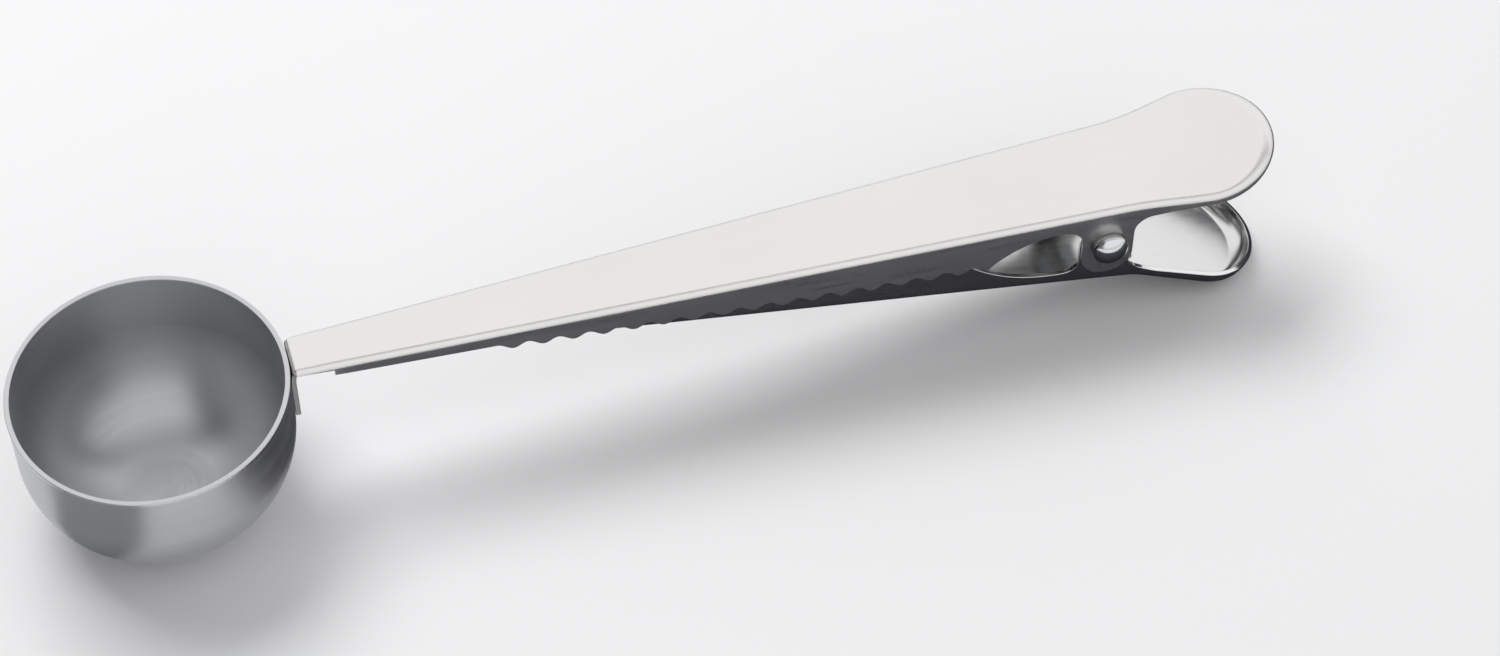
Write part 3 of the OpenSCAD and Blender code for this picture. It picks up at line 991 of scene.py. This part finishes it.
def steel(name, colour, rough, grain, streak, turned=False, stretch=0.5, bump=0.04):
    """Brushed steel. grain and streak are the scales of the fine lines and the broad ones.

    turned: the lines run round the Z axis, as on a spun part, and not along X.
    """
    material = bpy.data.materials.new(name)
    material.use_nodes = True
    n = Nodes(material.node_tree)
    place = n.new("TexCoord").outputs["Object"]
    if turned:
        split = n.new("SeparateXYZ")
        n.link(place, split.inputs[0])
        flat = n.new("CombineXYZ")
        n.link(split.outputs[0], flat.inputs[0])
        n.link(split.outputs[1], flat.inputs[1])
        length = n.new("VectorMath", operation="LENGTH")
        n.link(flat.outputs[0], length.inputs[0])
        around = n.math("ARCTAN2", split.outputs[1], split.outputs[0])
        lines = n.new("CombineXYZ")
        n.link(n.math("MULTIPLY", around, RIM_R * MM), lines.inputs[0])
        n.link(length.outputs["Value"], lines.inputs[1])
        n.link(split.outputs[2], lines.inputs[2])
        place = lines.outputs[0]
    fine = n.noise(place, grain, 3.0, 0.6)
    broad = n.noise(place, streak, 2.0)
    cloud = n.noise(place, (55.0, 55.0, 55.0), 2.0)
    wear_and_shade_mark = n.new("Attribute", attribute_name="edge").outputs["Fac"]
    tone = n.mix(n.spread(broad, 0.0, 1.0), [c * 0.945 for c in colour], colour)
    tone = n.mix(n.spread(cloud, 0.0, 0.5), tone, [c * 0.92 for c in colour])
    tone = n.mix(n.math("MULTIPLY", wear_and_shade_mark, 0.5), tone, (0.93, 0.93, 0.92))
    # Painted shade: where the mark is below 0 the colour is darkened towards 0.4 of itself.
    tone = n.mix(n.math("MULTIPLY", wear_and_shade_mark, -1.0), tone, [c * 0.4 for c in colour])
    roughness = n.math("ADD", n.spread(broad, rough - 0.03, rough + 0.04),
                       n.spread(fine, -0.02, 0.02))
    roughness = n.math("SUBTRACT", roughness, n.math("MULTIPLY", wear_and_shade_mark, rough * 0.35))
    shader = n.new("BsdfPrincipled")
    shader.inputs["Metallic"].default_value = 1.0
    shader.inputs["Anisotropic"].default_value = stretch
    n.link(tone, shader.inputs["Base Color"])
    n.link(roughness, shader.inputs["Roughness"])
    if turned:
        tangent = n.new("Tangent", direction_type="RADIAL", axis="Z")
    else:
        tangent = n.new("Tangent", direction_type="UV_MAP", uv_map="brush")
    shader.inputs["Anisotropic Rotation"].default_value = 0.25
    n.link(tangent.outputs[0], shader.inputs["Tangent"])
    relief = n.new("Bump")
    relief.inputs["Strength"].default_value = bump
    relief.inputs["Distance"].default_value = 0.00002
    n.link(fine, relief.inputs["Height"])
    n.link(relief.outputs[0], shader.inputs["Normal"])
    out = n.new("OutputMaterial")
    n.link(shader.outputs[0], out.inputs["Surface"])
    return material


def plain(name, colour, rough):
    """A matt card, which cannot be seen from its back."""
    material = bpy.data.materials.new(name)
    material.use_nodes = True
    n = Nodes(material.node_tree)
    shader = n.new("BsdfPrincipled")
    shader.inputs["Base Color"].default_value = (*colour, 1.0)
    shader.inputs["Roughness"].default_value = rough
    shader.inputs["Specular IOR Level"].default_value = 0.0
    clear = n.new("BsdfTransparent")
    choose = n.new("MixShader")
    n.link(n.new("NewGeometry").outputs["Backfacing"], choose.inputs[0])
    n.link(shader.outputs[0], choose.inputs[1])
    n.link(clear.outputs[0], choose.inputs[2])
    out = n.new("OutputMaterial")
    n.link(choose.outputs[0], out.inputs["Surface"])
    return material


# ---------------------------------------------------------------- stage
def flat_card(name, low, high, z, material):
    """A level rectangle from corner to corner."""
    data = bpy.data.meshes.new(name)
    corners = [(low[0], low[1]), (high[0], low[1]), (high[0], high[1]), (low[0], high[1])]
    data.from_pydata([(x * MM, y * MM, z * MM) for x, y in corners], [], [[0, 1, 2, 3]])
    data.materials.append(material)
    card = bpy.data.objects.new(name, data)
    bpy.context.scene.collection.objects.link(card)
    return card


def ridge_card(name, material):
    """A low dark wall behind and beyond the lever, which only the shine on the steel sees."""
    points = [(x * MM, y * MM, z * MM) for x, y in RIDGE_LINE for z in (0, RIDGE_H)]
    faces = [[2 * k, 2 * k + 2, 2 * k + 3, 2 * k + 1] for k in range(len(RIDGE_LINE) - 1)]
    data = bpy.data.meshes.new(name)
    data.from_pydata(points, [], faces)
    data.materials.append(material)
    card = bpy.data.objects.new(name, data)
    bpy.context.scene.collection.objects.link(card)
    return card


def build_world():
    """A bright tent in front and behind, with a dark strip overhead and dim at the bowl's end."""
    world = bpy.data.worlds.new("studio")
    bpy.context.scene.world = world
    world.use_nodes = True
    n = Nodes(world.node_tree)
    split = n.new("SeparateXYZ")
    n.link(n.new("TexCoord").outputs["Generated"], split.inputs[0])
    back = n.math("MULTIPLY", split.outputs[1], -1.0)
    angle = n.math("ARCTAN2", back, split.outputs[2])
    share = n.math("ADD", n.math("DIVIDE", angle, 2 * math.pi), 0.5)
    ramp = n.new("ValToRGB")
    n.link(share, ramp.inputs[0])
    points = ramp.color_ramp.elements
    while len(points) < len(WORLD_STEPS):
        points.new(0.5)
    for point, (degrees, level) in zip(points, WORLD_STEPS):
        point.position = degrees / 360 + 0.5
        point.color = (level * WORLD_TINT[0], level * WORLD_TINT[1], level, 1.0)
    shade = n.new("Background")
    n.link(ramp.outputs[0], shade.inputs["Color"])
    across = n.new("MapRange")
    n.link(split.outputs[0], across.inputs["Value"])
    for socket, value in WORLD_DARK_X:
        across.inputs[socket].default_value = value
    n.link(n.math("MULTIPLY", across.outputs[0], WORLD_LEVEL), shade.inputs["Strength"])
    out = n.new("OutputWorld")
    n.link(shade.outputs[0], out.inputs["Surface"])


def area_light(name, place, aim, size, power):
    data = bpy.data.lights.new(name, "AREA")
    data.shape, data.size, data.size_y = "RECTANGLE", size[0] * MM, size[1] * MM
    data.energy = power
    light = bpy.data.objects.new(name, data)
    light.location = Vector(place) * MM
    way = (Vector(aim) - Vector(place)).to_track_quat("-Z", "Y")
    light.rotation_euler = way.to_euler()
    light.visible_glossy = False
    bpy.context.scene.collection.objects.link(light)


def build_camera():
    data = bpy.data.cameras.new("camera")
    data.sensor_width, data.lens = SENSOR_W, LENS
    data.clip_start, data.clip_end = 0.02, 20.0
    camera = bpy.data.objects.new("camera", data)
    camera.location = Vector(CAMERA_PLACE) * MM
    camera.rotation_euler = Vector(CAMERA_LOOK).to_track_quat("-Z", "Y").to_euler()
    bpy.context.scene.collection.objects.link(camera)
    bpy.context.scene.camera = camera


def sink_with_jaw(card, jaw):
    """Lowers a card as the jaw opens, as if the scoop were lifted, so that the jaw has room."""
    follow = card.constraints.new("TRANSFORM")
    follow.target = jaw
    follow.map_from, follow.map_to = "ROTATION", "LOCATION"
    follow.from_min_y_rot, follow.to_min_z = -OPEN_TURN, -OPEN_DROP * MM
    follow.from_max_y_rot, follow.to_max_z = 0.0, 0.0
    follow.map_to_z_from = "Y"


def build_stage(jaw):
    """The floor, the cards that only reflections see, the world, the light and the camera."""
    corner = (FLOOR_REACH, FLOOR_REACH)
    paper = plain("floor_paper", (0.80, 0.80, 0.805), 0.8)
    floor = flat_card("floor", (-FLOOR_REACH, -FLOOR_REACH), corner, FLOOR_Z, paper)
    cloth = plain("dark_cloth", (0.05, 0.051, 0.062), 0.9)
    flag = flat_card("dark_flag", *FLAG, FLAG_Z, cloth)
    grey = plain("grey_cloth", (0.30, 0.305, 0.315), 0.9)
    side_flag = flat_card("side_flag", *SIDE_FLAG, FLAG_Z, grey)
    ridge = ridge_card("dark_ridge", cloth)
    for card in (floor, flag, side_flag, ridge):
        sink_with_jaw(card, jaw)
    for card in (flag, side_flag, ridge):
        for kind in ("camera", "diffuse", "shadow", "transmission", "volume_scatter"):
            setattr(card, "visible_" + kind, False)
    build_world()
    area_light("key", KEY_PLACE, KEY_AIM, KEY_SIZE, KEY_POWER)
    bpy.context.scene.view_settings.view_transform = "Standard"
    build_camera()


# ---------------------------------------------------------------- the scoop
# The bowl's colour is set darker than its steel really is: painted shade that stands in for the
# dim floor it reflects.
BOWL_STEEL_PAINTED_SHADE = steel("bowl_steel", (0.60, 0.605, 0.62), 0.33, (60, 9000, 9000), (20, 1500, 1500),
                   turned=True, stretch=0.75)
HANDLE_STEEL = steel("handle_steel", (0.94, 0.925, 0.905), 0.30, (90, 9000, 9000),
                     (25, 1400, 1400))
JAW_STEEL = steel("jaw_steel", (0.84, 0.84, 0.83), 0.19, (90, 9000, 9000), (25, 1400, 1400))
RIVET_STEEL = steel("rivet_steel", (0.85, 0.86, 0.87), 0.14, (900, 900, 900),
                    (300, 300, 300), stretch=0.0, bump=0.03)
SPRING_STEEL = steel("spring_steel", (0.60, 0.61, 0.63), 0.24, (900, 900, 900),
                     (300, 300, 300), stretch=0.0, bump=0.05)

build_bowl(BOWL_STEEL_PAINTED_SHADE)
build_handle(HANDLE_STEEL)
JAW = build_jaw(JAW_STEEL)
build_rivet(RIVET_STEEL)
build_spring(SPRING_STEEL)
build_stage(JAW.parent)
